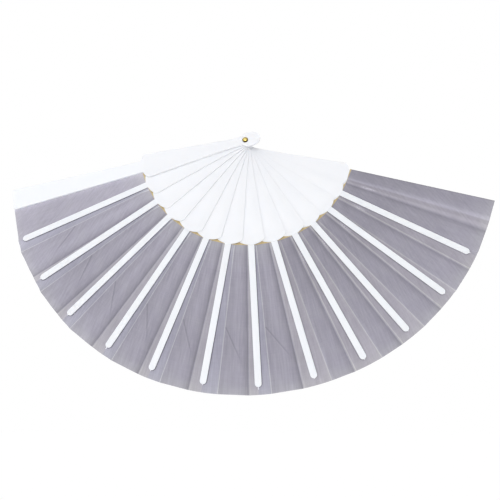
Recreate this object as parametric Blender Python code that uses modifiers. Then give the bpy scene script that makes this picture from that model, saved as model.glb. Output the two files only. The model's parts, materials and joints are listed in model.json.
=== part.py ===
"""A folding fan: fourteen plastic sticks on one rivet, and a pleated cloth leaf.

The rivet's axis is the Y axis. The fan stands open in the XZ plane with its
front towards -Y and its leaf down. A stick's angle is counted clockwise from
+X, as seen from the front, and a height is a distance towards the front.
Units are metres and degrees.
"""

from math import asin, atan2, cos, degrees, pi, radians, sin

import bmesh
import bpy
from mathutils import Vector
from mathutils.geometry import interpolate_bezier

# Angles of the open fan: the rear guard, then the turn from each stick to the next
REAR_GUARD_ANGLE = 18.6
STICK_TURNS = (11.2, 11.4, 11.9, 11.2, 11.2, 11.8, 11.7, 11.5, 11.0, 11.9, 11.1, 11.0, 10.6)

# Thicknesses, and the gap kept between pieces that lie on each other
CLEARANCE = 0.0003
GORGE_THICKNESS = 0.0010
FINGER_THICKNESS = 0.0006
GUARD_THICKNESS = 0.0020
CLOTH_THICKNESS = 0.0003

# The gorge, the wide lower part that every stick has, with its flat round outer end and tighter corners
GORGE_LENGTH = 0.1011
GORGE_END_RADIUS = 0.0180
GORGE_CORNER_RADIUS = 0.0042
GORGE_CORNER_ANGLE = 36.0
SHOULDER_ANGLE = 95.7
NECK_HALF_WIDTH = 0.0045
NECK_DISTANCE = 0.0100
NECK_HANDLE = Vector((0.0200, 0.0008, 0))
SIDE_HANDLE = Vector((0.0280, 0.0026, 0))

# The heads: round on the inner ribs, oval on the guards
RIB_HEAD_RADIUS = 0.0060
GUARD_HEAD_LENGTH = 0.0200
GUARD_HEAD_WIDTH = 0.0146
GUARD_HEAD_SHIFT = 0.0044

# The fingers of the inner ribs with what is left of the gate on their tips, and the guards' widening blades
RIB_LENGTH = 0.2235
FINGER_ROOT_WIDTH = 0.0057
FINGER_END_WIDTH = 0.0056
NIB_LENGTHS = (
    0.0009, 0.0004, 0.0005, 0.0005, 0.0004, 0.0018, 0.0008, 0.0008, 0.0016, 0.0010, 0.0008, 0.0003,
)
NIB_WIDTH = 0.0006
GUARD_LENGTH = 0.2243
BLADE_ROOT_WIDTH = 0.0116
BLADE_END_WIDTH = 0.0206
BLADE_CORNER_RADIUS = 0.0012

# The rivet, its washer and the counterbores that hold its heads
SHANK_RADIUS = 0.0011
RIVET_HEAD_RADIUS = 0.0026
RIVET_HEAD_HEIGHT = 0.0008
UPSET_RADIUS = 0.0018
UPSET_TIP_RADIUS = 0.0012
UPSET_HEIGHT = 0.0005
WASHER_RADIUS = 0.0030
WASHER_THICKNESS = 0.0003

# The leaf's reach, from under the gorges to its outer edge
LEAF_INNER_RADIUS = 0.0945
LEAF_OUTER_RADIUS = 0.2297
REAR_EDGE_RADIUS = 0.1009
REAR_VALLEY_RADIUS = 0.1006
REAR_RIDGE_RADIUS = 0.0973

# The leaf's outer edge, which isn't cut quite round: its radius at some angles of the open fan
OUTER_EDGE = (
    (15.6, 0.2319), (20.0, 0.2305), (29.8, 0.2299), (41.2, 0.2293), (76.0, 0.2291), (99.0, 0.2299),
    (110.5, 0.2303), (133.4, 0.2301), (144.5, 0.2289), (155.5, 0.2282), (160.0, 0.2249), (169.0, 0.2250),
)

# The leaf's folds: their angles from each panel's right and left stick, and their depths outside
VALLEY_TURNS = (4.2, 3.6, 3.1, 2.7, 2.9, 2.8, 2.1, 2.8, 2.3, 3.0, 2.1, 1.5, 1.3)
RIDGE_TURNS = (1.1, 1.9, 3.2, 3.3, 3.2, 2.7, 3.5, 2.9, 2.7, 2.9, 2.9, 3.1)
LEAST_STRIP_TURN = 0.2
REAR_EDGE_TURN = 3.0
FRONT_EDGE_TURN = 2.2
VALLEY_DEPTH = 0.0012
FRONT_VALLEY_DEPTH = 0.0004
RIDGE_HEIGHT = 0.0019
TUCK_RISE = 0.00025
PLEAT_START_RADIUS = GORGE_LENGTH + CLEARANCE
PLEAT_FULL_RADIUS = 0.1120
SEAM_GAP = CLEARANCE

# Counts of points on the curves, and the rows of a leaf panel as shares of its length
HEAD_POINTS = 14
SIDE_POINTS = 13
CORNER_POINTS = 8
END_POINTS = 8
TIP_POINTS = 9
DOME_POINTS = 8
HOLE_POINTS = 24
TURNED_STEPS = 32
LEAF_ROWS = (0.0, 0.04, 0.085, 0.13, 0.35, 0.57, 0.79, 1.0)
SHARP_ANGLE = radians(30)

RIB_COUNT = len(STICK_TURNS) - 1
FRONT = RIB_COUNT + 1
HOLE_RADIUS = SHANK_RADIUS + CLEARANCE
LAYER_PITCH = GORGE_THICKNESS + CLEARANCE
GUARD_INNER_FACE = (RIB_COUNT * LAYER_PITCH + CLEARANCE) / 2
GUARD_HEIGHT = GUARD_INNER_FACE + GUARD_THICKNESS / 2
STACK_HALF = GUARD_INNER_FACE + GUARD_THICKNESS


def stick_angle(index):
    """The angle of a stick: 0 is the rear guard, 1 to RIB_COUNT the inner ribs, FRONT the front guard."""
    return REAR_GUARD_ANGLE + sum(STICK_TURNS[:index])


def rib_height(index):
    """The height of an inner rib's middle above the middle of the stack."""
    return (index - FRONT / 2) * LAYER_PITCH


def clear_scene():
    for thing in list(bpy.data.objects):
        bpy.data.objects.remove(thing, do_unlink=True)


def make_collection(name):
    collection = bpy.data.collections.new(name)
    bpy.context.scene.collection.children.link(collection)
    return collection


def make_material(name, color, roughness, metallic=0.0):
    material = bpy.data.materials.new(name)
    material.use_nodes = True
    shader = material.node_tree.nodes["Principled BSDF"]
    shader.inputs["Base Color"].default_value = (*color, 1.0)
    shader.inputs["Roughness"].default_value = roughness
    shader.inputs["Metallic"].default_value = metallic
    return material


def arc(centre, radii, start, end, count):
    """Points on an ellipse, from one angle to another in degrees, both ends included."""
    angles = [radians(start + (end - start) * i / (count - 1)) for i in range(count)]
    return [(centre[0] + radii[0] * cos(a), centre[1] + radii[1] * sin(a)) for a in angles]


def circle(radius):
    return arc((0, 0), (radius, radius), 0, 360 * (1 - 1 / HOLE_POINTS), HOLE_POINTS)


def mirrored(half):
    """A closed outline from the half that runs over the upper side, both its ends on the axis."""
    return half + [(x, -y) for x, y in reversed(half[1:-1])]


def stick_outline(head_centre, head_radii, root_half_width, tip):
    """A stick's outline from head to tip: along the stick is x, across it is y."""
    neck_angle = degrees(asin(NECK_HALF_WIDTH / head_radii[1]))
    head = arc(head_centre, head_radii, 180, neck_angle, HEAD_POINTS)
    root_angle = degrees(asin(root_half_width / GORGE_END_RADIUS))
    end_centre = (GORGE_LENGTH - GORGE_END_RADIUS, 0)
    end_radii = (GORGE_END_RADIUS, GORGE_END_RADIUS)
    end = arc(end_centre, end_radii, GORGE_CORNER_ANGLE, root_angle, END_POINTS)
    corner_turn = radians(GORGE_CORNER_ANGLE)
    inset = Vector((cos(corner_turn), sin(corner_turn))) * GORGE_CORNER_RADIUS
    corner_centre = Vector(end[0]) - inset
    corner_radii = (GORGE_CORNER_RADIUS, GORGE_CORNER_RADIUS)
    corner = arc(corner_centre, corner_radii, SHOULDER_ANGLE, GORGE_CORNER_ANGLE, CORNER_POINTS)
    neck = Vector((NECK_DISTANCE, NECK_HALF_WIDTH, 0))
    shoulder = Vector((*corner[0], 0))
    side = interpolate_bezier(
        neck, neck + NECK_HANDLE, shoulder - SIDE_HANDLE, shoulder, SIDE_POINTS
    )
    return mirrored(head + [(p.x, p.y) for p in side[:-1]] + corner[:-1] + end + tip)


def plate_mesh(name, outlines, thickness):
    """A flat plate from closed outlines, the later ones being holes, as a closed mesh."""
    curve = bpy.data.curves.new(name, "CURVE")
    curve.dimensions = "2D"
    curve.fill_mode = "BOTH"
    curve.extrude = thickness / 2
    for outline in outlines:
        spline = curve.splines.new("POLY")
        spline.points.add(len(outline) - 1)
        for point, (x, y) in zip(spline.points, outline):
            point.co = (x, y, 0, 1)
        spline.use_cyclic_u = True
    source = bpy.data.objects.new(name + "_outline", curve)
    bpy.context.scene.collection.objects.link(source)
    evaluated = source.evaluated_get(bpy.context.evaluated_depsgraph_get())
    mesh = bpy.data.meshes.new_from_object(evaluated)
    bpy.data.objects.remove(source)
    cage = bmesh.new()
    cage.from_mesh(mesh)
    bmesh.ops.remove_doubles(cage, verts=cage.verts, dist=1e-6)
    bmesh.ops.recalc_face_normals(cage, faces=cage.faces)
    cage.to_mesh(mesh)
    cage.free()
    mesh.name = name
    mesh.shade_smooth()
    mesh.set_sharp_from_angle(angle=SHARP_ANGLE)
    return mesh


def box_mesh(name, low, high):
    """A box between two corners."""
    cage = bmesh.new()
    bmesh.ops.create_cube(cage, size=1)
    bmesh.ops.scale(cage, verts=cage.verts, vec=high - low)
    bmesh.ops.translate(cage, verts=cage.verts, vec=(low + high) / 2)
    mesh = bpy.data.meshes.new(name)
    cage.to_mesh(mesh)
    cage.free()
    return mesh


def disc_mesh(name, radius, depth):
    """A cylinder about local Z, half its depth on either side of the origin."""
    cage = bmesh.new()
    bmesh.ops.create_cone(
        cage, cap_ends=True, segments=HOLE_POINTS, radius1=radius, radius2=radius, depth=depth
    )
    mesh = bpy.data.meshes.new(name)
    cage.to_mesh(mesh)
    cage.free()
    return mesh


def cut(piece, mesh, angle, height, pivot, cutters):
    """Cuts a piece with a mesh laid at an angle and a height like the piece itself."""
    cutter = bpy.data.objects.new(piece.name + "_" + mesh.name, mesh)
    cutters.objects.link(cutter)
    put_on_pivot(cutter, angle, height, pivot)
    cutter.hide_render = True
    cutter.display_type = "WIRE"
    modifier = piece.modifiers.new(mesh.name, "BOOLEAN")
    modifier.operation = "DIFFERENCE"
    modifier.object = cutter
    modifier.solver = "EXACT"


def turned(name, profile, collection):
    """A solid of revolution about local Z, from a profile of (radius, height) points, top to bottom."""
    mesh = bpy.data.meshes.new(name)
    edges = [(i, i + 1) for i in range(len(profile) - 1)]
    mesh.from_pydata([(r, 0, z) for r, z in profile], edges, [])
    piece = bpy.data.objects.new(name, mesh)
    collection.objects.link(piece)
    screw = piece.modifiers.new("turn", "SCREW")
    screw.axis = "Z"
    screw.steps = TURNED_STEPS
    screw.render_steps = TURNED_STEPS
    screw.use_merge_vertices = True
    screw.merge_threshold = 1e-6
    return piece


def put_on_pivot(piece, angle, height, pivot):
    """Lays a piece drawn along X in its layer, turned about the rivet's axis."""
    piece.parent = pivot
    piece.rotation_euler = (pi / 2, radians(angle), 0)
    piece.location = (0, -height, 0)


def make_ribs(parts, cutters, pivot, plastic):
    """Twelve ribs, alike but for their nibs: the fingers are cut thin from the front, flush at the back."""
    half = FINGER_END_WIDTH / 2
    nib_angle = degrees(asin(NIB_WIDTH / 2 / half))
    tip = arc((RIB_LENGTH - half, 0), (half, half), 90, nib_angle, TIP_POINTS)
    step = GORGE_THICKNESS - FINGER_THICKNESS
    low = Vector((GORGE_LENGTH, -FINGER_ROOT_WIDTH, -step))
    high = Vector((RIB_LENGTH + FINGER_ROOT_WIDTH, FINGER_ROOT_WIDTH, step))
    shave = box_mesh("shave", low, high)
    for index in range(1, FRONT):
        angle, height = stick_angle(index), rib_height(index)
        end = RIB_LENGTH + NIB_LENGTHS[index - 1]
        nib = [(end, NIB_WIDTH / 2), (end, 0)]
        outline = stick_outline((0, 0), (RIB_HEAD_RADIUS, RIB_HEAD_RADIUS), FINGER_ROOT_WIDTH / 2, tip + nib)
        mesh = plate_mesh(f"rib_{index:02d}", [outline, circle(HOLE_RADIUS)], GORGE_THICKNESS)
        mesh.materials.append(plastic)
        rib = bpy.data.objects.new(mesh.name, mesh)
        parts.objects.link(rib)
        put_on_pivot(rib, angle, height, pivot)
        cut(rib, shave, angle, height + GORGE_THICKNESS / 2, pivot, cutters)


def make_guard(name, index, side, parts, cutters, pivot, plastic):
    """A guard: side is 1 for the front one and -1 for the rear one, whose outer face looks back."""
    corner = BLADE_CORNER_RADIUS
    centre = (GUARD_LENGTH - corner, BLADE_END_WIDTH / 2 - corner)
    tip = arc(centre, (corner, corner), 90, 0, TIP_POINTS) + [(GUARD_LENGTH, 0)]
    head = (GUARD_HEAD_LENGTH / 2, GUARD_HEAD_WIDTH / 2)
    outline = stick_outline((-GUARD_HEAD_SHIFT, 0), head, BLADE_ROOT_WIDTH / 2, tip)
    mesh = plate_mesh(name, [outline, circle(HOLE_RADIUS)], GUARD_THICKNESS)
    mesh.materials.append(plastic)
    guard = bpy.data.objects.new(name, mesh)
    parts.objects.link(guard)
    put_on_pivot(guard, stick_angle(index), side * GUARD_HEIGHT, pivot)
    if side > 0:
        radius, depth = RIVET_HEAD_RADIUS + CLEARANCE, RIVET_HEAD_HEIGHT + CLEARANCE
    else:
        radius = WASHER_RADIUS + CLEARANCE
        depth = UPSET_HEIGHT + WASHER_THICKNESS + 2 * CLEARANCE
    counterbore = disc_mesh("counterbore", radius, 2 * depth)
    cut(guard, counterbore, stick_angle(index), side * STACK_HALF, pivot, cutters)


def make_rivet(parts, pivot, brass):
    """The rivet: a domed front head, the shank through all the sticks, and its upset rear end."""
    seat = STACK_HALF - RIVET_HEAD_HEIGHT
    upset_seat = UPSET_HEIGHT - STACK_HALF
    dome_radius = (RIVET_HEAD_RADIUS**2 + RIVET_HEAD_HEIGHT**2) / (2 * RIVET_HEAD_HEIGHT)
    dome_centre = (0, STACK_HALF - dome_radius)
    rim = degrees(atan2(seat - dome_centre[1], RIVET_HEAD_RADIUS))
    dome = arc(dome_centre, (dome_radius, dome_radius), 90, rim, DOME_POINTS)
    profile = [(0, STACK_HALF), *dome[1:], (SHANK_RADIUS, seat), (SHANK_RADIUS, upset_seat)]
    profile += [(UPSET_RADIUS, upset_seat), (UPSET_TIP_RADIUS, -STACK_HALF), (0, -STACK_HALF)]
    rivet = turned("pivot_rivet", profile, parts)
    rivet.data.materials.append(brass)
    put_on_pivot(rivet, 0, 0, pivot)


def make_washer(parts, pivot, brass):
    """The washer between the rear guard and the rivet's upset end."""
    height = UPSET_HEIGHT + CLEARANCE + WASHER_THICKNESS / 2 - STACK_HALF
    outlines = [circle(WASHER_RADIUS), circle(HOLE_RADIUS)]
    mesh = plate_mesh("rivet_washer", outlines, WASHER_THICKNESS)
    mesh.materials.append(brass)
    washer = bpy.data.objects.new("rivet_washer", mesh)
    parts.objects.link(washer)
    put_on_pivot(washer, 0, height, pivot)


def cloth_height(index):
    """The height of the cloth's middle where it lies on a stick."""
    glue = CLEARANCE + CLOTH_THICKNESS / 2
    if index == 0:
        return glue - GUARD_INNER_FACE
    if index == FRONT:
        return GUARD_INNER_FACE - glue
    return rib_height(index) - GORGE_THICKNESS / 2 - glue


def turn_of(width, radius):
    """The angle that a width takes up at a radius."""
    return degrees(width / radius)


def blade_turn(radius):
    """The angle from a guard's middle to just past its blade's edge."""
    share = (radius - GORGE_LENGTH) / (GUARD_LENGTH - GORGE_LENGTH)
    width = BLADE_ROOT_WIDTH + (BLADE_END_WIDTH - BLADE_ROOT_WIDTH) * share
    return turn_of(width / 2 + CLEARANCE, radius)


def glue_turn(radius):
    """The angle from a rib's middle to just past its finger's edge."""
    return turn_of(FINGER_ROOT_WIDTH / 2 + CLEARANCE, radius)


def fold_turn(turn):
    """A fold's angle from its rib as a function of the radius: always a little past the finger's edge."""
    return lambda radius: max(turn, glue_turn(radius) + LEAST_STRIP_TURN)


def seam_turn(radius):
    return turn_of(SEAM_GAP / 2, radius)


def pleat(radius):
    """How far the pleats have opened at a radius: 0 under the gorges, 1 at the full fold's radius."""
    share = (radius - PLEAT_START_RADIUS) / (PLEAT_FULL_RADIUS - PLEAT_START_RADIUS)
    return min(max(share, 0), 1)


def panel_row(index, share):
    """One row of a panel, from its right stick to its left one, as (radius, angle, height) points."""
    right, left = stick_angle(index - 1), stick_angle(index)
    low, high = cloth_height(index - 1), cloth_height(index)
    valley_base = min(low, high)
    ridge_base = low if index == FRONT else min(low + TUCK_RISE, high)

    def reach(radius):
        return pleat(radius) * radius / LEAF_OUTER_RADIUS

    def valley(radius):
        return valley_base - (VALLEY_DEPTH if index < FRONT else FRONT_VALLEY_DEPTH) * reach(radius)

    def ridge(radius):
        tucked = ridge_base + (high - ridge_base) * pleat(radius)
        return tucked + (RIDGE_HEIGHT * reach(radius) if index < FRONT else 0)

    def level(height):
        return lambda radius: height

    def before(turn):
        return lambda radius: left - turn(radius)

    def after(turn):
        return lambda radius: right + turn(radius)

    inner = LEAF_INNER_RADIUS
    if index == 1:
        columns = [
            (REAR_EDGE_RADIUS, after(lambda radius: -REAR_EDGE_TURN), level(low)),
            (REAR_EDGE_RADIUS, after(lambda radius: 0), level(low)),
            (REAR_EDGE_RADIUS, after(blade_turn), level(low)),
            (REAR_VALLEY_RADIUS, after(lambda radius: VALLEY_TURNS[0]), valley),
            (REAR_RIDGE_RADIUS, before(fold_turn(RIDGE_TURNS[0])), ridge),
        ]
    else:
        columns = [
            (inner, after(seam_turn), level(low)),
            (inner, after(glue_turn), level(low)),
            (inner, after(fold_turn(VALLEY_TURNS[index - 1])), valley),
        ]
        turn = blade_turn if index == FRONT else fold_turn(RIDGE_TURNS[index - 1])
        columns.append((inner, before(turn), ridge))
    if index == FRONT:
        columns.append((inner, before(lambda radius: 0), level(high)))
        columns.append((inner, before(lambda radius: -FRONT_EDGE_TURN), level(high)))
    else:
        columns.append((inner, before(glue_turn), level(high)))
        columns.append((inner, before(seam_turn), level(high)))

    row = []
    for start, angle, height in columns:
        radius = start + (outer_radius(angle(LEAF_OUTER_RADIUS)) - start) * share
        row.append((radius, angle(radius), height(radius)))
    return row


def outer_radius(angle):
    """The radius of the leaf's outer edge at an angle of the open fan."""
    for (near, near_radius), (far, far_radius) in zip(OUTER_EDGE, OUTER_EDGE[1:]):
        if angle <= far:
            return near_radius + (far_radius - near_radius) * (angle - near) / (far - near)
    return OUTER_EDGE[-1][1]


def make_leaf(parts, pivot, cloth):
    """The leaf: one pleated panel of cloth between each stick and the next."""
    for index in range(1, FRONT + 1):
        cage = bmesh.new()
        rows = []
        for share in LEAF_ROWS:
            points = panel_row(index, share)
            rows.append([
                cage.verts.new((r * cos(radians(a)), -height, -r * sin(radians(a))))
                for r, a, height in points
            ])
        for near, far in zip(rows, rows[1:]):
            for i in range(len(near) - 1):
                cage.faces.new((near[i], far[i], far[i + 1], near[i + 1]))
        mesh = bpy.data.meshes.new(f"leaf_panel_{index:02d}")
        cage.to_mesh(mesh)
        cage.free()
        mesh.materials.append(cloth)
        panel = bpy.data.objects.new(mesh.name, mesh)
        parts.objects.link(panel)
        panel.parent = pivot
        shell = panel.modifiers.new("thickness", "SOLIDIFY")
        shell.thickness = CLOTH_THICKNESS
        shell.offset = 0


def main():
    clear_scene()
    parts = make_collection("folding_fan")
    cutters = make_collection("cutters")
    plastic = make_material("white_plastic", (0.86, 0.87, 0.91), 0.35)
    cloth = make_material("grey_cloth", (0.37, 0.35, 0.42), 0.85)
    brass = make_material("rivet_brass", (0.80, 0.58, 0.25), 0.3, metallic=1.0)
    pivot = bpy.data.objects.new("pivot", None)
    parts.objects.link(pivot)
    make_guard("rear_guard", 0, -1, parts, cutters, pivot, plastic)
    make_ribs(parts, cutters, pivot, plastic)
    make_guard("front_guard", FRONT, 1, parts, cutters, pivot, plastic)
    make_rivet(parts, pivot, brass)
    make_washer(parts, pivot, brass)
    make_leaf(parts, pivot, cloth)


main()
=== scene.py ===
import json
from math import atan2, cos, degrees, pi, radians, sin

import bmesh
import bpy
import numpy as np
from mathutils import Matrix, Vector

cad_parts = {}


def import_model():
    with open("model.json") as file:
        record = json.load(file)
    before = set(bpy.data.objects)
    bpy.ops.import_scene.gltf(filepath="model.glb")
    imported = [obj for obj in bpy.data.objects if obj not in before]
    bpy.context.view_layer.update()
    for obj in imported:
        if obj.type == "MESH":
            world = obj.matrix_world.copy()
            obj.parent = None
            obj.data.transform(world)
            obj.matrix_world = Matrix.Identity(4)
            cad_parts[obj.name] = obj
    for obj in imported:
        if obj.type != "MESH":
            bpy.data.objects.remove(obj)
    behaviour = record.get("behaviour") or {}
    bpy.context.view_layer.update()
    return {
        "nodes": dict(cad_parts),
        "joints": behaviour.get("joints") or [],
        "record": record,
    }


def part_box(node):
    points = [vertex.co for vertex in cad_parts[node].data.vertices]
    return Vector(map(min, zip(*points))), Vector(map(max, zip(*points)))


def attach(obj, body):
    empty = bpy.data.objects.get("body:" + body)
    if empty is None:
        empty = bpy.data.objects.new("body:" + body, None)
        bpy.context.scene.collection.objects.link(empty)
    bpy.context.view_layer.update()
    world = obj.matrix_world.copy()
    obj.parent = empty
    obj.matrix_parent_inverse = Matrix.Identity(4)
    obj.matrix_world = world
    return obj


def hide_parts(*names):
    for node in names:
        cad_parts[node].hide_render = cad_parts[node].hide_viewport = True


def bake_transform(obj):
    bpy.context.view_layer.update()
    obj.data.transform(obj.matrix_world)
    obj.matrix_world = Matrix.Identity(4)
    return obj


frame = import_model()

# Looks of an open folding fan: white plastic sticks, a pleated grey cloth leaf and a brass rivet.
#
# The rivet's axis is the Y axis, the front faces -Y and the leaf hangs down. A place on the fan is
# given by its radius, its angle clockwise from +X as seen from the front, and its height, which is
# its distance towards the front. Units are metres, and degrees where nothing else is said.

# The camera: where it looks, from how far and from which side
CAMERA_TARGET = Vector((0.00380, 0, -0.10617))
CAMERA_DISTANCE = 0.430
CAMERA_AZIMUTH = 4.55
CAMERA_ELEVATION = -19.13
CAMERA_LENS = 34.97

# The light: a large lamp in front, a weak one nearer at the left, and an even white world. Each lamp has
# its name, its direction from the camera's target, its distance, its size and its power
LAMPS = (
    ("key", Vector((0.02, -0.95, -0.20)), 2.0, 1.0, 17.0),
    ("fill", Vector((-0.80, -0.58, 0.12)), 1.2, 0.6, 1.25),
)
WORLD_STRENGTH = 0.60
FLOOR_HEIGHT = -1.10
FLOOR_SIZE = 30

# The floor as the camera sees it: mostly its own glow, which makes up white with the light on it
FLOOR_GLOW_SHARE = 0.92
FLOOR_GLOW = 1.04

# The cloth: its thickness, how far its middle lies from the face that it is glued to, how much further it
# lies beside a finger, and how far past a finger's or a blade's edge it is still held
CLOTH_THICKNESS = 0.00015
GLUE_DEPTH = 0.00010
EDGE_GAP = 0.00040
GLUE_MARGIN = 0.0003

# The sticks' sizes that the cloth and the materials follow
FINGER_WIDTH = 0.0057
BLADE_ROOT_WIDTH = 0.0116
BLADE_END_WIDTH = 0.0206
GORGE_LENGTH = 0.1011
GUARD_LENGTH = 0.2243
RIB_LENGTH = 0.2235

# The leaf's reach, from under the gorges to its outer edge
INNER_RADIUS = 0.0945
OUTER_RADIUS = 0.2297
REAR_EDGE_RADIUS = 0.1009
REAR_VALLEY_RADIUS = 0.1004
REAR_RIDGE_RADIUS = 0.0970

# The leaf's outer edge, which isn't cut quite round: its radius at some angles of the open fan
OUTER_EDGE = (
    (15.6, 0.2319), (20.0, 0.2305), (29.8, 0.2299), (41.2, 0.2293), (76.0, 0.2291), (99.0, 0.2299),
    (110.5, 0.2303), (133.4, 0.2301), (144.5, 0.2289), (155.5, 0.2282), (160.0, 0.2249), (169.0, 0.2250),
)

# The folds: their angles from each panel's right and left stick, how far the cloth reaches past the two
# guards, and the folds' depths and heights at the outer edge
VALLEY_TURNS = (4.8, 3.6, 3.15, 2.75, 2.9, 2.75, 2.05, 2.75, 2.3, 3.0, 2.15, 1.5, 1.3)
RIDGE_TURNS = (1.1, 1.9, 3.2, 3.35, 3.25, 2.7, 3.5, 2.9, 2.65, 2.9, 2.95, 3.1)
LEAST_STRIP_TURN = 0.2
REAR_OVERHANG = 0.0012
FRONT_GLUE_TURN = 1.0
FRONT_EDGE_TURN = 2.2
VALLEY_DEPTH = 0.0012
FRONT_VALLEY_DEPTH = 0.0003
SECOND_VALLEY_DEPTH = 0.00008
RIDGE_HEIGHT = 0.0019
FIRST_RIDGE_HEIGHT = 0.0004
SECOND_RIDGE_HEIGHT = 0.0013
PLEAT_START_RADIUS = 0.1013
PLEAT_FULL_RADIUS = 0.1120

# A facet's slopes at its valley, its middle and its ridge, in shares of its mean slope
FACET_SLOPES = (2.0, 0.35, 1.3)
CURVE_STEPS = 24

# How far a fold is rounded to both sides, and from how many samples
FOLD_SOFTNESS = 0.0004
SOFT_STEPS = 5

# The distance that stands for no fold or no finger nearby
NO_FOLD = 0.05

# Shallow waves along the facets: their lengths and heights, how much they slant, and the draws for them
WAVES = ((0.061, 0.00013), (0.037, 0.00007), (0.023, 0.00004))
WAVE_SLANT = 2.5
WAVE_DRAWS = 8
WAVE_SEED = 13

# Each panel's tone: those at the front guard are drawn flatter and are painted lighter, standing in for the
# more light they catch, and the last is warmer
PANEL_TONES = (1.0, 1.0, 1.0, 1.0, 1.0, 1.0, 1.0, 1.0, 1.0, 1.03, 1.03, 1.15, 1.24)
LAST_PANEL_WARMTH = 0.3

# Where the cloth leaves the rear guard it is pressed into two blunt folds: their heights in metres over
# the angle from the guard, where they begin, the cloth's tone there with painted highlights and shade on the
# folds, and its warm tint there
REAR_FOLDS = (
    (-3.0, 0.0), (1.2, 0.0), (2.0, 0.00030), (2.7, 0.0), (3.2, 0.00005), (3.8, 0.00035), (4.8, 0.0),
    (10.0, 0.0),
)
REAR_FOLDS_START = 0.104
REAR_FOLDS_GROWTH = 0.02
REAR_TONES = (
    (-1.0, 0.92), (-0.2, 0.975), (0.9, 1.03), (1.7, 1.30), (2.15, 1.30), (2.45, 1.07), (3.3, 1.08),
    (3.75, 1.28), (4.1, 1.22), (4.5, 0.92), (4.8, 0.80), (5.2, 0.83), (5.8, 0.95), (7.0, 1.0),
)
REAR_STRIP = ((2.2, 0.0), (2.5, 1.0), (4.0, 1.0), (4.5, 0.0))

# The least distance from a finger's edge on the first panel, whose right stick has none in front of it
REAR_SIDE_GAP = 0.0002

# Columns of a panel as shares of each stretch between two stations, and its rows
GLUE_SHARES = (0.0, 0.25, 0.5, 0.72, 0.88)
REAR_SHARES = (0.0, 0.25, 0.45, 0.56, 0.63, 0.69, 0.74, 0.78, 0.81, 0.84, 0.87, 0.90, 0.93, 0.96)
STRIP_SHARES = (0.0, 0.2, 0.42, 0.62, 0.79, 0.91, 0.97)
FACET_SHARES = (0.0, 0.025, 0.06, 0.11, 0.18, 0.27, 0.37, 0.46, 0.54, 0.63, 0.73, 0.82, 0.89, 0.94, 0.975)
ROW_SHARES = np.concatenate([
    np.linspace(0, 0.925, 57), np.linspace(0.925, 0.975, 15)[1:], [0.984, 0.992, 1.0],
])

# The cloth's tone, on the first panels and on the rest: painted highlights and painted shade beside a valley
# and a ridge by millimetres from the fold, painted shade beside a finger by millimetres from its edge, and
# the tone along the leaf by metres from the rivet
FIRST_PANELS = 5
VALLEY_TONES = (
    ((-2.2, 1.06), (-1.8, 1.09), (-1.6, 1.16), (-1.4, 1.42), (-0.95, 1.42), (-0.7, 1.16), (-0.1, 1.08),
     (0.15, 1.00), (0.6, 0.83), (1.2, 0.86), (2.2, 0.89), (3.2, 0.94), (4.6, 0.99), (6.0, 1.0)),
    ((-2.2, 1.13), (-1.65, 1.13), (-1.45, 1.25), (-1.05, 1.25), (-0.85, 1.13), (-0.2, 1.08), (0.02, 0.87),
     (0.3, 0.69), (0.9, 0.75), (1.96, 0.86), (3.0, 0.92), (4.2, 0.98), (6.0, 1.0), (8.0, 1.04),
     (10.0, 1.05), (12.0, 1.0)),
)
RIDGE_TONES = (
    ((-2.2, 1.10), (-1.0, 1.12), (-0.75, 1.15), (-0.55, 1.40), (-0.10, 1.38), (0.1, 1.08), (1.2, 1.02),
     (2.6, 1.0)),
    ((-2.2, 1.07), (-1.0, 1.03), (-0.75, 1.09), (-0.55, 1.41), (-0.10, 1.38), (0.1, 0.98), (0.6, 0.93),
     (2.4, 0.935), (4.2, 0.97), (6.0, 1.0)),
)
RIGHT_SIDE_TONES = (
    ((-0.2, 0.66), (0.35, 0.70), (0.8, 0.93), (1.4, 1.0)),
    ((-0.2, 0.85), (0.3, 0.93), (0.8, 1.0), (2.0, 1.0)),
)
LEFT_SIDE_TONES = (
    ((-0.25, 0.74), (0.3, 0.77), (0.8, 0.95), (1.4, 1.0)),
    ((-0.25, 0.38), (0.25, 0.42), (0.55, 0.86), (1.0, 1.0)),
)
LENGTH_TONES = (
    ((0.103, 0.97), (0.110, 0.90), (0.120, 0.91), (0.135, 0.93), (0.155, 0.965), (0.180, 1.0), (0.205, 1.04),
     (0.214, 1.09), (0.222, 1.14), (0.228, 1.25)),
    ((0.103, 1.22), (0.110, 1.16), (0.118, 1.12), (0.128, 1.06), (0.145, 1.08), (0.158, 1.05), (0.168, 1.01),
     (0.205, 1.01), (0.214, 1.10), (0.222, 1.14), (0.228, 1.25)),
)

# The tints of the strips past the folds, and how far from the fold a strip has its full tint
WARM_TINT = (1.0, 0.99, 0.96, 1)
COOL_TINT = (0.985, 1.0, 1.02, 1)
STRIP_BORDER = 0.0008

# The tint of a line of tones, by half its tone: warmer where a painted highlight lies
TONE_LINE_TINTS = [(0.54, (1.0, 1.0, 1.0)), (0.70, (1.0, 1.03, 0.93))]

# Painted light on the cloth beside the front guard's side, for the light that the side throws onto it: by how
# much, and how far
GUARD_SIDE_GLOW = 0.22
GUARD_SIDE_REACH = 0.0016

# The crease across a facet on the further panels: where it starts at the ridge and ends at the valley,
# its half width and height, the painted shade and highlight on the cloth over millimetres from it, and
# their strength along it
CREASE_RADII = (0.1752, 0.2035)
CREASE_END_TURN = 3.7
CREASE_WIDTH = 0.0009
CREASE_HEIGHT = -0.00025
CREASE_TONES = (
    (-1.4, 1.0), (-0.7, 0.93), (-0.35, 0.80), (0.15, 0.78), (0.5, 0.97), (0.9, 1.05), (1.8, 1.0),
)
CREASE_STRENGTHS = [(0.0, 0.0), (0.03, 1.0), (0.7, 0.9), (1.0, 0.0)]

# The lighter speckled places beside the first valleys: their ends, their angle from the valley, their half
# width and their strength
SPECKLED_RADII = (0.1150, 0.1290)
SPECKLED_TURN = -1.05
SPECKLED_WIDTH = 0.0008
SPECKLED_STRENGTH = 1.5

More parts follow.
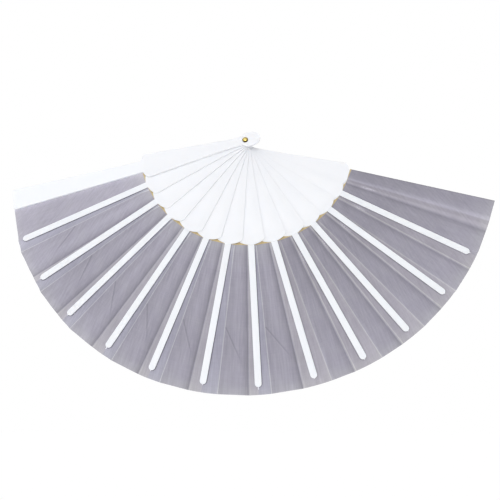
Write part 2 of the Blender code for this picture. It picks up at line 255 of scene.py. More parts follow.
# The puckers beside some of the first valleys: the radius and the angle from the valley of both ends,
# the half width and the height
PUCKERED_PANELS = (1, 3, 4, 5)
PUCKERS = (
    ((0.1145, 0.5), (0.1205, 0.1), 0.0008, 0.00030),
    ((0.1190, 0.8), (0.1250, 0.4), 0.0007, -0.00022),
)

# The threads lean from each panel's middle towards the upright, by this share of its own lean
THREAD_LEAN = 0.49

# The cloth's colours, the scale of its threads, and how far its marks waver
CLOTH_COLOURS = [(0.3, (0.3086, 0.2960, 0.358)), (0.7, (0.3193, 0.3080, 0.3635))]
THREAD_SCALE = 620.0
WAVER = 0.0003

# The old glue: its colours, and the radii between which it ends
GLUE_COLOURS = [(0.3, (0.50, 0.38, 0.19)), (0.7, (0.60, 0.50, 0.28))]
GLUE_END_RADII = (0.0996, 0.1026)

# The sticks' plastic, which looks cooler where it is a narrow finger over the cloth, and duller at its edges
PLASTIC_COLOURS = [(0.3, (0.903, 0.916, 0.955)), (0.7, (0.918, 0.929, 0.964))]
DULLED_PLASTIC = (0.85, 0.865, 0.90, 1)
COOLNESS = [(0.0, (0.945, 0.943, 0.940)), (1.0, (0.968, 0.977, 1.0))]
COOLNESS_REACH = 0.004

# The rounded edges of the sticks and the washer
PLASTIC_EDGE = 0.00010
METAL_EDGE = 0.00006

# The brass, and the rivet head's painted highlight colours over their reach from its bright spot, and where
# painted shade darkens its rim
BRASS_COLOURS = [(0.35, (0.50, 0.35, 0.11)), (0.62, (0.74, 0.57, 0.22))]
HEAD_HIGHLIGHT_COLOURS = [
    (0.10, (0.86, 0.76, 0.34)), (0.26, (0.62, 0.50, 0.15)), (0.5, (0.40, 0.30, 0.07)),
    (0.8, (0.26, 0.18, 0.04)),
]
HEAD_HIGHLIGHT_REACH = 0.004
HEAD_RIM_SHADE_RADII = (0.0019, 0.0026)

# The place of the rivet head's painted highlight in its own plane
HEAD_HIGHLIGHT_SPOT = (-0.0005, 0, 0.0010)

# The head was set a little off its shank: how far up, and how much flatter it is upright than across
HEAD_RISE = 0.0011
HEAD_FLATNESS = 0.82
HEAD_DEPTH = 0.00085

# The head's dome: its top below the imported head's front, its height, and the angle at which the round that
# it is a cap of meets the rim. The rim turns down through some angles
DOME_TOP_DEPTH = 0.00002
DOME_HEIGHT = 0.000651
DOME_END_ANGLE = 28
DOME_STEPS = 14
RIM_ANGLES = (25, 0, -30, -60, -90)
RIM_INSET = 0.00014
RIM_DROP = 0.00012
RIM_RISE = 0.00010

# The rest of the rivet as (radius, distance): the neck from its front, then the upset end from its back
NECK_PROFILE = ((0.0013, 0.0008), (0.0011, 0.00095))
UPSET_PROFILE = (
    (0.0011, 0.00056), (0.00165, 0.00050), (0.00180, 0.00038), (0.00165, 0.00022), (0.00120, 0.00005),
    (0.00060, 0.0), (0.0, 0.0),
)
RIVET_STEPS = 72

STICKS = ["rear_guard"] + [joint["child"] for joint in frame["joints"]]
FRONT = len(STICKS) - 1


def stick_angles():
    """The angle of each stick in the open fan, from the rear guard's mount and the joints' ranges."""
    face = next(m for m in frame["record"]["mounts"] if m["name"] == "rear_guard_face")
    angles = [degrees(atan2(-face["pos_m"][2], face["pos_m"][0]))]
    for joint in frame["joints"]:
        angles.append(angles[-1] + joint["range_deg"][1])
    return angles


ANGLES = stick_angles()


def cloth_height(index):
    """The height of the cloth's middle where it is glued to a stick."""
    low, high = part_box(STICKS[index])
    if index == 0:
        return -low.y + GLUE_DEPTH
    return -high.y - GLUE_DEPTH


# Materials

def new_material(name):
    """A material, its node tree and its shader."""
    material = bpy.data.materials.new(name)
    material.use_nodes = True
    tree = material.node_tree
    return material, tree, tree.nodes["Principled BSDF"]


def node(tree, kind, settings=None, **inputs):
    """Adds a node. Inputs are named with underscores for spaces, and are values or sockets."""
    made = tree.nodes.new("ShaderNode" + kind)
    for key, value in (settings or {}).items():
        setattr(made, key, value)
    for key, value in inputs.items():
        socket = made.inputs[int(key[1:])] if key[0] == "i" and key[1:].isdigit() else \
            made.inputs[key.replace("_", " ")]
        if isinstance(value, bpy.types.NodeSocket):
            tree.links.new(value, socket)
        else:
            socket.default_value = value
    return made


def number(tree, name):
    """A number that the mesh carries."""
    return node(tree, "Attribute", {"attribute_name": name}).outputs["Fac"]


def maths(tree, operation, first, second=0.0):
    """One value from two."""
    return node(tree, "Math", {"operation": operation}, i0=first, i1=second).outputs[0]


def mixed(tree, mode, factor, first, second):
    """One colour socket from two colours, blended as said."""
    made = node(tree, "Mix", {"data_type": "RGBA", "blend_type": mode})
    for socket, value in ((made.inputs[0], factor), (made.inputs[6], first), (made.inputs[7], second)):
        if isinstance(value, bpy.types.NodeSocket):
            tree.links.new(value, socket)
        else:
            socket.default_value = value
    return made.outputs[2]


def times(tree, first, second):
    """The product of two colours."""
    return mixed(tree, "MULTIPLY", 1.0, first, second)


def ramp(tree, value, stops):
    """A grey or coloured ramp over a value, from (position, tone) stops."""
    made = node(tree, "ValToRGB", i0=value)
    elements = made.color_ramp.elements
    while len(elements) < len(stops):
        elements.new(0.5)
    for element, (position, tone) in zip(elements, stops):
        element.position = position
        element.color = (tone, tone, tone, 1) if isinstance(tone, float) else (*tone, 1)
    return made.outputs[0]


def tone_over(tree, value, table):
    """The tone at a value, from a table of (value, tone). A ramp ends at 1, so it holds half the tones."""
    low, high = table[0][0], table[-1][0]
    place = spread(tree, value, 0.0, 1.0, low, high)
    halves = ramp(tree, place, [((at - low) / (high - low), tone / 2) for at, tone in table])
    return times(tree, halves, (2, 2, 2, 1))


def tone_of_both(tree, value, tables, share):
    """The tone at a value, from the first panels' table and the further ones', the latter by a share."""
    first, further = (tone_over(tree, value, table) for table in tables)
    return mixed(tree, "MIX", share, first, further)


def noise(tree, vector, scale, detail=2.0, roughness=0.5):
    """Cloudy noise, mostly from 0.25 to 0.75."""
    return node(tree, "TexNoise", Vector=vector, Scale=scale, Detail=detail, Roughness=roughness).outputs[0]


def streaks(tree, vector, scales, low, high, detail=2.0, roughness=0.5):
    """Tones from noise that is drawn out by its scales."""
    drawn_out = noise(tree, scaled(tree, vector, scales), 1.0, detail, roughness)
    return ramp(tree, drawn_out, [(0.3, low), (0.7, high)])


def spread(tree, value, low, high, source_low=0.25, source_high=0.75):
    """A value moved from its own range to another one."""
    return node(
        tree, "MapRange", Value=value, From_Min=source_low, From_Max=source_high, To_Min=low, To_Max=high
    ).outputs[0]


def scaled(tree, vector, scale):
    """A place with each coordinate scaled by itself."""
    return node(tree, "Mapping", Vector=vector, Scale=scale).outputs[0]


def distance(tree, place, centre):
    """The distance from an axis that runs along Y through a place."""
    level = scaled(tree, place, (1.0, 0.0, 1.0))
    return node(tree, "VectorMath", {"operation": "DISTANCE"}, i0=level, i1=centre).outputs["Value"]


def plastic_material():
    """Satin white moulded plastic, with faint flow marks, a fine skin and slightly dulled edges."""
    material, tree, shader = new_material("white_plastic")
    place = node(tree, "TexCoord").outputs["Object"]
    tone = ramp(tree, noise(tree, place, 55.0, 3.0), PLASTIC_COLOURS)
    reach = distance(tree, place, (0, 0, 0))
    cool = spread(tree, reach, 0.0, 1.0, GORGE_LENGTH - COOLNESS_REACH, GORGE_LENGTH + COOLNESS_REACH)
    tone = times(tree, tone, ramp(tree, cool, COOLNESS))
    edge = ramp(tree, node(tree, "NewGeometry").outputs["Pointiness"], [(0.50, 0.0), (0.62, 1.0)])
    tone = mixed(tree, "MIX", maths(tree, "MULTIPLY", edge, 0.35), tone, DULLED_PLASTIC)
    tree.links.new(tone, shader.inputs["Base Color"])
    scuff = noise(tree, place, 240.0, 4.0, 0.6)
    tree.links.new(spread(tree, scuff, 0.44, 0.58), shader.inputs["Roughness"])
    skin = noise(tree, place, 1500.0, 2.0)
    flow = noise(tree, scaled(tree, place, (90.0, 90.0, 30.0)), 1.0, 2.0)
    relief = maths(tree, "ADD", maths(tree, "MULTIPLY", skin, 0.35), flow)
    bump = node(tree, "Bump", Strength=0.25, Distance=0.00004, Height=relief)
    tree.links.new(bump.outputs[0], shader.inputs["Normal"])
    shader.inputs["IOR"].default_value = 1.47
    shader.inputs["Subsurface Weight"].default_value = 0.5
    shader.inputs["Subsurface Radius"].default_value = (1.0, 0.95, 0.9)
    shader.inputs["Subsurface Scale"].default_value = 0.0012
    return material


def brass_material(name, painted_light_and_tone):
    """Pressed brass with fine marks of the punch. On a head, a painted highlight spot fades into painted
    shade, deepest at the rim.
    """
    material, tree, shader = new_material(name)
    place = node(tree, "TexCoord").outputs["Object"]
    tone = ramp(tree, noise(tree, place, 900.0, 3.0), BRASS_COLOURS)
    if painted_light_and_tone:
        # A painted highlight spot that fades into painted shade, and painted shade on the rim
        highlight_distance = distance(tree, place, HEAD_HIGHLIGHT_SPOT)
        highlight_tone = ramp(tree, spread(tree, highlight_distance, 0.0, 1.0, 0.0, HEAD_HIGHLIGHT_REACH), HEAD_HIGHLIGHT_COLOURS)
        tone = mixed(tree, "MIX", 0.75, tone, highlight_tone)
        middle = distance(tree, place, (0, 0, HEAD_RISE))
        rim = ramp(tree, spread(tree, middle, 0.0, 1.0, *HEAD_RIM_SHADE_RADII), [(0.2, 1.0), (0.8, 0.5)])
        tone = times(tree, tone, rim)
    tree.links.new(tone, shader.inputs["Base Color"])
    shader.inputs["Metallic"].default_value = 1.0
    tree.links.new(spread(tree, noise(tree, place, 2600.0, 2.0), 0.18, 0.36), shader.inputs["Roughness"])
    marks = node(tree, "TexVoronoi", {"feature": "SMOOTH_F1"}, Vector=place, Scale=1100.0).outputs[0]
    bump = node(tree, "Bump", Strength=0.5, Distance=0.00008, Height=marks)
    tree.links.new(bump.outputs[0], shader.inputs["Normal"])
    return material


def painted_light_and_tone(tree, tone, line):
    """The cloth's colour under a line of tones, warmer where the line is light: it carries the painted
    highlights and shade of the folds and fingers, and the tone along the leaf.
    """
    tint = ramp(tree, maths(tree, "MULTIPLY", line, 0.5), TONE_LINE_TINTS)
    return times(tree, times(tree, tone, line), tint)


def wavered(tree, gap, waver):
    """A distance in millimetres from one in metres, made a little uneven."""
    return maths(tree, "MULTIPLY", maths(tree, "ADD", gap, waver), 1000.0)


def cloth_material():
    """Grey woven cloth: threads both ways, slubs, painted highlights along the folds with painted shade at
    their feet, painted shade beside the fingers and along the creases, and old glue.
    """
    material, tree, shader = new_material("grey_cloth")
    flat = node(tree, "UVMap", {"uv_map": "flat"}).outputs[0]
    down = node(tree, "SeparateXYZ", Vector=flat).outputs["Y"]
    further = number(tree, "further_panel")

    blotch = ramp(tree, noise(tree, flat, 38.0, 3.0, 0.55), [(0.3, 0.955), (0.7, 1.04)])
    slub = streaks(tree, flat, (650.0, 28.0, 1.0), 0.965, 1.035)
    weft = streaks(tree, flat, (45.0, 900.0, 1.0), 0.975, 1.025)
    tone = ramp(tree, noise(tree, flat, 90.0, 2.0), CLOTH_COLOURS)
    for marks in (number(tree, "panel_tone"), blotch, slub, weft):
        tone = times(tree, tone, marks)

    waver = maths(tree, "MULTIPLY", maths(tree, "SUBTRACT", noise(tree, flat, 300.0, 2.0), 0.5), WAVER)
    # Painted highlights and painted shade along the folds, and painted shade beside the fingers' edges
    sides = {
        "valley_side": VALLEY_TONES, "ridge_side": RIDGE_TONES, "right_side": RIGHT_SIDE_TONES,
        "left_side": LEFT_SIDE_TONES,
    }
    for side, tables in sides.items():
        gap = wavered(tree, number(tree, side), waver)
        tone = painted_light_and_tone(tree, tone, tone_of_both(tree, gap, tables, further))
    tone = painted_light_and_tone(tree, tone, tone_of_both(tree, down, LENGTH_TONES, further))

    # A painted shade line along the crease, with a painted highlight beside it
    line = tone_over(tree, wavered(tree, number(tree, "crease_across"), waver), CREASE_TONES)
    strength = ramp(tree, number(tree, "crease_along"), CREASE_STRENGTHS)
    tone = mixed(tree, "MIX", strength, tone, times(tree, tone, line))

    for name, tint in (("warm_strip", WARM_TINT), ("cool_strip", COOL_TINT)):
        tone = mixed(tree, "MIX", number(tree, name), tone, times(tree, tone, tint))

    speckles = ramp(tree, noise(tree, flat, 900.0, 2.0), [(0.42, 1.0), (0.55, 1.55)])
    tone = mixed(tree, "MIX", number(tree, "frayed"), tone, times(tree, tone, speckles))

    across, along = number(tree, "thread_across"), number(tree, "thread_along")
    leaning = node(tree, "CombineXYZ", X=across, Y=along).outputs[0]
    tone = times(tree, tone, streaks(tree, leaning, (700.0, 45.0, 1.0), 0.92, 1.08, 3.0, 0.6))

    warp, picks = (
        node(
            tree, "TexWave", {"wave_type": "BANDS", "bands_direction": way}, Vector=flat, Scale=THREAD_SCALE,
            Distortion=0.4,
        ).outputs["Fac"]
        for way in "XY"
    )
    weave = maths(tree, "MAXIMUM", warp, picks)
    tone = times(tree, tone, ramp(tree, weave, [(0.0, 0.90), (1.0, 1.03)]))

    edge = maths(tree, "ADD", down, maths(tree, "MULTIPLY", waver, 1.5))
    glued = ramp(tree, spread(tree, edge, 0.0, 1.0, *GLUE_END_RADII), [(0.37, 1.0), (0.50, 0.0)])
    tone = mixed(tree, "MIX", glued, tone, ramp(tree, noise(tree, flat, 400.0, 2.0), GLUE_COLOURS))
    tree.links.new(tone, shader.inputs["Base Color"])

    rough = spread(tree, noise(tree, flat, 500.0, 2.0), 0.72, 0.92)
    tree.links.new(rough, shader.inputs["Roughness"])
    shader.inputs["Sheen Weight"].default_value = 0.12
    shader.inputs["Sheen Roughness"].default_value = 0.4
    relief = maths(tree, "ADD", maths(tree, "MULTIPLY", weave, 0.6), slub)
    bump = node(tree, "Bump", Strength=0.35, Distance=0.00008, Height=relief)
    tree.links.new(bump.outputs[0], shader.inputs["Normal"])
    return material


def seen_rays(tree):
    """1 for the rays by which the backdrop is seen: the camera's, and those that metal or glass sends on."""
    path = node(tree, "LightPath")
    sent_on = maths(tree, "ADD", path.outputs["Is Glossy Ray"], path.outputs["Is Transmission Ray"])
    return maths(tree, "MINIMUM", maths(tree, "ADD", path.outputs["Is Camera Ray"], sent_on), 1.0)


def floor_material():
    """Plain white floor, which the camera sees nearly white, with a weak shadow of the fan."""
    material, tree, shader = new_material("floor_white")
    shader.inputs["Base Color"].default_value = (0.9, 0.9, 0.9, 1)
    shader.inputs["Roughness"].default_value = 0.9
    glow = node(tree, "Emission", Color=(1, 1, 1, 1), Strength=FLOOR_GLOW)
    seen = maths(tree, "MULTIPLY", seen_rays(tree), FLOOR_GLOW_SHARE)
    mix = node(tree, "MixShader", i0=seen, i1=shader.outputs[0], i2=glow.outputs[0])
    tree.links.new(mix.outputs[0], tree.nodes["Material Output"].inputs["Surface"])
    return material


# The leaf

def fold_turn(turn):
    """A fold's angle from its stick as a function of radius, at least a little past the glue's edge."""
    return lambda radius: max(turn, glue_turn(radius) + LEAST_STRIP_TURN)


def glue_turn(radius):
    """The angle from a finger's centre line at which the cloth comes free of it."""
    return degrees((FINGER_WIDTH / 2 + GLUE_MARGIN) / radius)


def blade_turn(radius):
    """The angle from a guard's centre line at which the cloth comes free of its blade."""
    share = (radius - GORGE_LENGTH) / (GUARD_LENGTH - GORGE_LENGTH)
    width = BLADE_ROOT_WIDTH + (BLADE_END_WIDTH - BLADE_ROOT_WIDTH) * share
    return degrees((width / 2 + GLUE_MARGIN) / radius)


def rear_edge_turn(radius):
    """The cloth's first edge, a little past the rear guard's blade: its angle before the guard."""
    return -blade_turn(radius) - degrees((REAR_OVERHANG - GLUE_MARGIN) / radius)


def pleat(radius):
    """How far the pleats have opened at a radius, from 0 under the gorges to 1."""
    share = min(max((radius - PLEAT_START_RADIUS) / (PLEAT_FULL_RADIUS - PLEAT_START_RADIUS), 0), 1)
    return share * (2 - share)


def stations(index):
    """A panel's stations from right to left: start radius, angle and height as functions of radius."""
    right, left = ANGLES[index - 1], ANGLES[index]
    low, high = cloth_height(index - 1), cloth_height(index)
    base = min(low, high)
    # The second panel shuts onto the rear guard's face, so it stays nearly level with its stick
    depth = {2: SECOND_VALLEY_DEPTH, FRONT: FRONT_VALLEY_DEPTH}.get(index, VALLEY_DEPTH)
    rise = {1: FIRST_RIDGE_HEIGHT, 2: SECOND_RIDGE_HEIGHT, FRONT: 0}.get(index, RIDGE_HEIGHT)

    def reach(radius):
        return pleat(radius) * radius / OUTER_RADIUS

    def valley(radius):
        return base - depth * reach(radius)

    def ridge(radius):
        return base + (high - base) * pleat(radius) + rise * reach(radius)

    def level(height):
        return lambda radius: height

    def loose(height):
        return lambda radius: height - EDGE_GAP * pleat(radius)

    def after(turn):
        return lambda radius: right + turn(radius)

    def before(turn):
        return lambda radius: left - turn(radius)

    if index == 1:
        found = [
            (REAR_EDGE_RADIUS, after(rear_edge_turn), level(low)),
            (REAR_EDGE_RADIUS, after(blade_turn), level(low)),
            (REAR_VALLEY_RADIUS, after(level(VALLEY_TURNS[0])), valley),
        ]
    else:
        found = [
            (INNER_RADIUS, after(level(0)), level(low)),
            (INNER_RADIUS, after(glue_turn), level(low) if index == 2 else loose(low)),
            (INNER_RADIUS, after(fold_turn(VALLEY_TURNS[index - 1])), valley),
        ]
    if index == FRONT:
        found += [
            (INNER_RADIUS, before(blade_turn), level(high)),
            (INNER_RADIUS, before(level(FRONT_GLUE_TURN)), level(high)),
            (INNER_RADIUS, before(level(-FRONT_EDGE_TURN)), level(high)),
        ]
    else:
        ridge_start = REAR_RIDGE_RADIUS if index == 1 else INNER_RADIUS
        found += [
            (ridge_start, before(fold_turn(RIDGE_TURNS[index - 1])), ridge),
            (INNER_RADIUS, before(glue_turn), loose(high)),
            (INNER_RADIUS, before(level(0)), level(high)),
        ]
    return found


def outer_radius(angle):
    """The radius of the leaf's outer edge at an angle of the open fan."""
    return float(np.interp(angle, *zip(*OUTER_EDGE)))


def crease(place, start, end, width, height):
    """The heights of a soft line between two flat places on the cloth, strongest at its middle."""
    along = end - start
    share = np.clip(((place - start) @ along) / (along @ along), 0, 1)
    nearest = start + share[:, None] * along
    gap = np.linalg.norm(place - nearest, axis=1)
    return height * np.exp(-((gap / width) ** 2)) * np.sin(pi * np.clip(share, 0.02, 0.98)) ** 0.5


def facet_rise(share):
    """How far a facet has risen from its valley to its ridge, from 0 to 1."""
    low, middle, high = FACET_SLOPES
    first = np.minimum(share, 0.5)
    second = np.maximum(share - 0.5, 0)
    return low * first + (middle - low) * first**2 + middle * second + (high - middle) * second**2


def section(along_at, tall_at, folded):
    """A fine curve across a panel: strips that dip towards the valley and drop from the ridge."""
    rises = [lambda s: s] * (len(along_at) - 1)
    if folded:
        rises[1:4] = [lambda s: s**1.5, facet_rise, lambda s: 1 - (1 - s) ** 2]
    steps = np.linspace(0, 1, CURVE_STEPS + 1)[:-1]
    along, tall = [], []
    for i, rise in enumerate(rises):
        along.append(along_at[i] + (along_at[i + 1] - along_at[i]) * steps)
        tall.append(tall_at[i] + (tall_at[i + 1] - tall_at[i]) * rise(steps))
    return np.concatenate(along + [along_at[-1:]]), np.concatenate(tall + [tall_at[-1:]])


def panel_plan(index, found):
    """A panel's columns from right to left: the station before each, and the share of the way to the next."""
    first = REAR_SHARES if index == 1 else GLUE_SHARES
    mirrored = [0.0] + [1 - share for share in reversed(STRIP_SHARES[1:])]
    plan = [
        (station, share)
        for station, shares in enumerate((first, STRIP_SHARES, FACET_SHARES, mirrored, GLUE_SHARES))
        for share in shares
    ]
    plan.append((len(found) - 2, 1.0))
    return np.array([station for station, _ in plan]), np.array([share for _, share in plan])


def sheet_mesh(name, place, flat, wide):
    """A smooth sheet from rows of places, with their flat places as its map."""
    cage = bmesh.new()
    verts = [cage.verts.new(p) for p in place]
    cage.verts.ensure_lookup_table()
    uv = cage.loops.layers.uv.new("flat")
    for row in range(len(place) // wide - 1):
        for column in range(wide - 1):
            first = row * wide + column
            corners = (first, first + wide, first + wide + 1, first + 1)
            face = cage.faces.new([verts[corner] for corner in corners])
            face.smooth = True
            for loop, corner in zip(face.loops, corners):
                loop[uv].uv = flat[corner]
    for edge in cage.edges:
        edge.smooth = not edge.is_boundary
    mesh = bpy.data.meshes.new(name)
    cage.to_mesh(mesh)
    cage.free()
    return mesh


def panel_mesh(index, random):
    """One panel of the leaf between two sticks, as a mesh with what its material needs."""
    right, left = ANGLES[index - 1], ANGLES[index]
    middle = (right + left) / 2
    folded = 1 < index < FRONT
    found = stations(index)
    near, shares = panel_plan(index, found)
    far = near + 1
    phases = random.uniform(0, 2 * pi, WAVE_DRAWS)

    places, flats, tones, valleys, ridges, rights, lefts, warms, cools = ([] for _ in range(9))
    for down in ROW_SHARES:
        points = []
        for start, angle, height in found:
            radius = start + (outer_radius(angle(OUTER_RADIUS)) - start) * down
            points.append((radius, angle(radius), height(radius)))
        radius_at = np.array([p[0] for p in points])
        turn_at = np.radians([p[1] for p in points])
        tall_at = np.array([p[2] for p in points])
        x_at, z_at = radius_at * np.cos(turn_at), -radius_at * np.sin(turn_at)
        step = np.hypot(np.diff(x_at), np.diff(z_at))
        along_at = np.concatenate([[0], np.cumsum(step)])

        x = x_at[near] + (x_at[far] - x_at[near]) * shares
        z = z_at[near] + (z_at[far] - z_at[near]) * shares
        along = along_at[near] + (along_at[far] - along_at[near]) * shares
        radius = np.hypot(x, z)
        turn = np.arctan2(-z, x)

        curve_along, curve_tall = section(along_at, tall_at, folded)
        tall = np.zeros(len(near))
        for offset in np.linspace(-FOLD_SOFTNESS, FOLD_SOFTNESS, SOFT_STEPS):
            tall += np.interp(along + offset, curve_along, curve_tall)
        tall /= SOFT_STEPS

        share = np.clip((along - along_at[2]) / (along_at[3] - along_at[2]), 0, 1)
        wave = sum(
            np.sin(2 * pi * (radius / length) + phases[i] + WAVE_SLANT * share * (i - 1.5)) * size
            for i, (length, size) in enumerate(WAVES)
        )
        tall += np.sin(pi * share) * pleat(float(radius_at[2])) * wave

        u = radius * np.sin(turn - radians(middle))
        v = radius * np.cos(turn - radians(middle))
        places.append(np.column_stack([x, -tall, z]))
        flats.append(np.column_stack([u, v]))

        none = np.full(len(near), NO_FOLD)
        shade = np.ones(len(near))
        # The first panel's tone carries the painted highlights and shade of the rear folds
        if index == 1:
            shade = np.interp(np.degrees(turn) - right, *zip(*REAR_TONES))
        # Painted light on the cloth beside the front guard's side
        if index == FRONT:
            shade += GUARD_SIDE_GLOW * np.exp(-np.maximum(along_at[3] - along, 0) / GUARD_SIDE_REACH)
        # The panels' tones, the lighter ones painted light
        tones.append(PANEL_TONES[index - 1] * shade)
        valleys.append(along - along_at[2] if folded else none)
        ridges.append(along_at[3] - along if folded else none)
        valley_strip = np.clip(-valleys[-1] / STRIP_BORDER, 0, 1)
        ridge_strip = np.clip(-ridges[-1] / STRIP_BORDER, 0, 1)
        if index == 1:
            valley_strip = np.interp(np.degrees(turn) - right, *zip(*REAR_STRIP))
        warm = valley_strip + ridge_strip * (index <= FIRST_PANELS)
        warms.append(warm + LAST_PANEL_WARMTH * (index == FRONT))
        cools.append(ridge_strip * (index > FIRST_PANELS))
        rights.append(finger_gap(radius, turn, right) if index > 1 else along + REAR_SIDE_GAP)
        lefts.append(finger_gap(radius, turn, left) if index < FRONT else none)

    place = np.concatenate(places)
    flat = np.concatenate(flats)
    place[:, 1] -= details(index, flat, middle)
    mesh = sheet_mesh(f"leaf_cloth_{index:02d}", place, flat, len(near))

    across, along = crease_place(index, flat, middle)
    lean = radians((90 - middle) * THREAD_LEAN)
    named = {
        "valley_side": np.concatenate(valleys), "ridge_side": np.concatenate(ridges),
        "right_side": np.concatenate(rights), "left_side": np.concatenate(lefts),
        "panel_tone": np.concatenate(tones), "further_panel": np.full(len(flat), float(index > FIRST_PANELS)),
        "warm_strip": np.concatenate(warms), "cool_strip": np.concatenate(cools),
        "crease_across": across, "crease_along": along, "frayed": speckled_share(index, flat, middle),
        "thread_across": flat[:, 0] * cos(lean) - flat[:, 1] * sin(lean),
        "thread_along": flat[:, 0] * sin(lean) + flat[:, 1] * cos(lean),
    }
    for name, values in named.items():
        attribute = mesh.attributes.new(name, "FLOAT", "POINT")
        attribute.data.foreach_set("value", values.astype(np.float32))
    return mesh


def finger_gap(radius, turn, angle):
    """The distance of the cloth's places from the outline of the finger at an angle."""
    half = FINGER_WIDTH / 2
    beyond = np.maximum(radius * np.cos(turn - radians(angle)) - (RIB_LENGTH - half), 0)
    return np.hypot(beyond, radius * np.sin(turn - radians(angle))) - half


def flat_place(radius, angle, middle):
    """A place on a panel laid flat, as (u, v) in metres, with v along the panel's middle."""
    turn = radians(angle - middle)
    return np.array((radius * sin(turn), radius * cos(turn)))


def crease_ends(index, middle):
    """The flat places of a facet's crease: its start at the ridge and its end near the valley."""
    right, left = ANGLES[index - 1], ANGLES[index]
    start, end = CREASE_RADII
    ridge = left - RIDGE_TURNS[index - 1]
    return flat_place(start, ridge, middle), flat_place(end, right + CREASE_END_TURN, middle)


def crease_place(index, flat, middle):
    """The cloth's places beside a facet's crease, in metres, and along it, from 0 to 1."""
    if not FIRST_PANELS < index < FRONT:
        return np.full(len(flat), NO_FOLD), np.zeros(len(flat))
    start, end = crease_ends(index, middle)
    line = end - start
    length = np.linalg.norm(line)
    offset = flat - start
    return (offset[:, 0] * line[1] - offset[:, 1] * line[0]) / length, offset @ line / length**2


def speckled_share(index, flat, middle):
    """Where the first panels have lighter speckles beside their valley, near the gorges: 0 to 1."""
    if index > FIRST_PANELS:
        return np.zeros(len(flat))
    angle = ANGLES[index - 1] + VALLEY_TURNS[index - 1] + SPECKLED_TURN
    start, end = (flat_place(radius, angle, middle) for radius in SPECKLED_RADII)
    return np.clip(SPECKLED_STRENGTH * crease(flat, start, end, SPECKLED_WIDTH, 1.0), 0, 1)


def details(index, flat, middle):
    """Small creases and puckers of a panel, as heights over its flat places."""
    right = ANGLES[index - 1]
    tall = np.zeros(len(flat))
    if index == 1:
        angle = np.degrees(np.arctan2(flat[:, 0], flat[:, 1])) + middle - right
        grown = np.clip((flat[:, 1] - REAR_FOLDS_START) / REAR_FOLDS_GROWTH, 0, 1)
        tall += np.interp(angle, *zip(*REAR_FOLDS)) * grown
    if FIRST_PANELS < index < FRONT:
        tall += crease(flat, *crease_ends(index, middle), CREASE_WIDTH, CREASE_HEIGHT)
    if index in PUCKERED_PANELS:
        fold = right + VALLEY_TURNS[index - 1]
        for *ends, width, height in PUCKERS:
            start, end = (flat_place(radius, fold + turn, middle) for radius, turn in ends)
            tall += crease(flat, start, end, width, height)
    return tall


def make_leaf(cloth):
    """The leaf's thirteen panels, each spanning between the two sticks that it joins."""
    random = np.random.default_rng(WAVE_SEED)
    for index in range(1, FRONT + 1):
        mesh = panel_mesh(index, random)
        mesh.materials.append(cloth)
        panel = bpy.data.objects.new(mesh.name, mesh)
        bpy.context.scene.collection.objects.link(panel)
        shell = panel.modifiers.new("thickness", "SOLIDIFY")
        shell.thickness = CLOTH_THICKNESS
        shell.offset = 0

        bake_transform(panel)
        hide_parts(f"leaf_panel_{index:02d}")


# The sticks, the washer and the rivet

def finish_sticks(plastic, brass):
    """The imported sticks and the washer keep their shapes, with rounded edges and full materials."""
    for name in STICKS + ["rivet_washer"]:
        piece = frame["nodes"][name]
        metal = name == "rivet_washer"
        piece.data.materials.clear()
        piece.data.materials.append(brass if metal else plastic)
        weld = piece.modifiers.new("weld", "WELD")
        weld.merge_threshold = 1e-6
        planar = piece.modifiers.new("planar", "DECIMATE")
        planar.decimate_type = "DISSOLVE"
        planar.angle_limit = radians(0.5)
        bevel = piece.modifiers.new("edges", "BEVEL")
        bevel.width = METAL_EDGE if metal else PLASTIC_EDGE
        bevel.segments = 3
        bevel.limit_method = "ANGLE"
        bevel.angle_limit = radians(30)
        bevel.use_clamp_overlap = False
        bevel.harden_normals = False
        piece.data.shade_smooth()
        normals = piece.modifiers.new("normals", "WEIGHTED_NORMAL")
        normals.keep_sharp = False


def rivet_profile(head, front, back):
    """The rivet's outline as (radius, height), from the top of its head to its upset end."""
    dome_end = radians(DOME_END_ANGLE)
    profile = [(0.0, front - DOME_TOP_DEPTH)]
    for step in range(1, DOME_STEPS + 1):
        turn = radians(90 - step * (90 - DOME_END_ANGLE) / DOME_STEPS)
        drop = DOME_HEIGHT * (1 - sin(turn)) / (1 - sin(dome_end))
        profile.append((head * cos(turn) / cos(dome_end), front - drop))
    rim = profile[-1][1]
    for turn in map(radians, RIM_ANGLES):
        profile.append((head - RIM_INSET * (1 - cos(turn)), rim - RIM_DROP + RIM_RISE * sin(turn)))
    profile += [(radius, front - depth) for radius, depth in NECK_PROFILE]
    return profile + [(radius, back + height) for radius, height in UPSET_PROFILE]


def make_rivet(brass):
    """The rivet: a domed head with a turned-down rim, the shank and the upset end at the back."""
    low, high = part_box("pivot_rivet")
    front, back = -low.y, -high.y
    cage = bmesh.new()
    rings = []
    for radius, height in rivet_profile((high.x - low.x) / 2, front, back):
        ring = []
        for step in range(RIVET_STEPS if radius else 1):
            turn = radians(360 / RIVET_STEPS * step)
            upright = radius * sin(turn)
            if height > front - HEAD_DEPTH:
                upright = upright * HEAD_FLATNESS + HEAD_RISE
            ring.append(cage.verts.new((radius * cos(turn), -height, upright)))
        rings.append(ring)
    for first, second in zip(rings, rings[1:]):
        for step in range(RIVET_STEPS):
            around = ((first, step), (second, step), (second, step + 1), (first, step + 1))
            corners = [ring[place % len(ring)] for ring, place in around]
            face = cage.faces.new(list(dict.fromkeys(corners)))
            face.smooth = True
    bmesh.ops.recalc_face_normals(cage, faces=cage.faces)
    mesh = bpy.data.meshes.new("rivet")
    cage.to_mesh(mesh)
    cage.free()
    mesh.materials.append(brass)
    rivet = bpy.data.objects.new("rivet", mesh)
    bpy.context.scene.collection.objects.link(rivet)
    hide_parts("pivot_rivet")
    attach(rivet, "rear_guard")


# The camera, the light and the floor

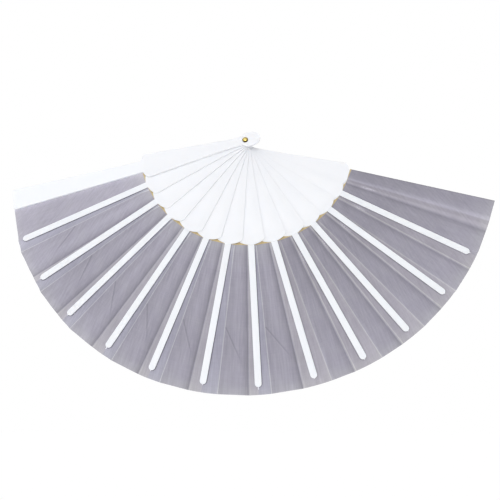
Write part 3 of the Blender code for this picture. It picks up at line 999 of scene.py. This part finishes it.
def make_camera():
    """The camera that takes the photo's view, from a little below."""
    azimuth, elevation = radians(CAMERA_AZIMUTH), radians(CAMERA_ELEVATION)
    back = Vector((sin(azimuth) * cos(elevation), -cos(azimuth) * cos(elevation), sin(elevation)))
    data = bpy.data.cameras.new("camera")
    data.lens = CAMERA_LENS
    data.clip_start, data.clip_end = 0.01, 100
    camera = bpy.data.objects.new("camera", data)
    bpy.context.scene.collection.objects.link(camera)
    camera.location = CAMERA_TARGET + CAMERA_DISTANCE * back
    camera.rotation_mode = "QUATERNION"
    camera.rotation_quaternion = (-back).to_track_quat("-Z", "Y")
    bpy.context.scene.camera = camera


def make_light():
    """The lamps, and a white world that the camera sees as plain white."""
    for name, direction, distance_away, size, power in LAMPS:
        data = bpy.data.lights.new(name, "AREA")
        data.shape = "DISK"
        data.size = size
        data.energy = power
        lamp = bpy.data.objects.new(name, data)
        bpy.context.scene.collection.objects.link(lamp)
        towards = direction.normalized()
        lamp.location = CAMERA_TARGET + towards * distance_away
        lamp.rotation_mode = "QUATERNION"
        lamp.rotation_quaternion = towards.to_track_quat("Z", "Y")

    world = bpy.data.worlds.new("studio")
    bpy.context.scene.world = world
    world.use_nodes = True
    tree = world.node_tree
    tree.nodes.clear()
    lit = node(tree, "Background", Color=(1, 1, 1, 1), Strength=WORLD_STRENGTH)
    seen = node(tree, "Background", Color=(1, 1, 1, 1), Strength=1.0)
    mix = node(tree, "MixShader", i0=seen_rays(tree), i1=lit.outputs[0], i2=seen.outputs[0])
    output = node(tree, "OutputWorld")
    tree.links.new(mix.outputs[0], output.inputs["Surface"])


def make_floor():
    """A wide floor, far enough below that the fan hangs free."""
    cage = bmesh.new()
    bmesh.ops.create_grid(cage, x_segments=1, y_segments=1, size=FLOOR_SIZE)
    mesh = bpy.data.meshes.new("floor")
    cage.to_mesh(mesh)
    cage.free()
    mesh.materials.append(floor_material())
    floor = bpy.data.objects.new("floor", mesh)
    floor.location = (0, 0, FLOOR_HEIGHT)
    bpy.context.scene.collection.objects.link(floor)


def main():
    """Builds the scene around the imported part."""
    make_camera()
    make_light()
    make_floor()
    finish_sticks(plastic_material(), brass_material("washer_brass", False))
    make_rivet(brass_material("rivet_brass", True))
    make_leaf(cloth_material())
    bpy.context.scene.view_settings.view_transform = "Standard"


main()
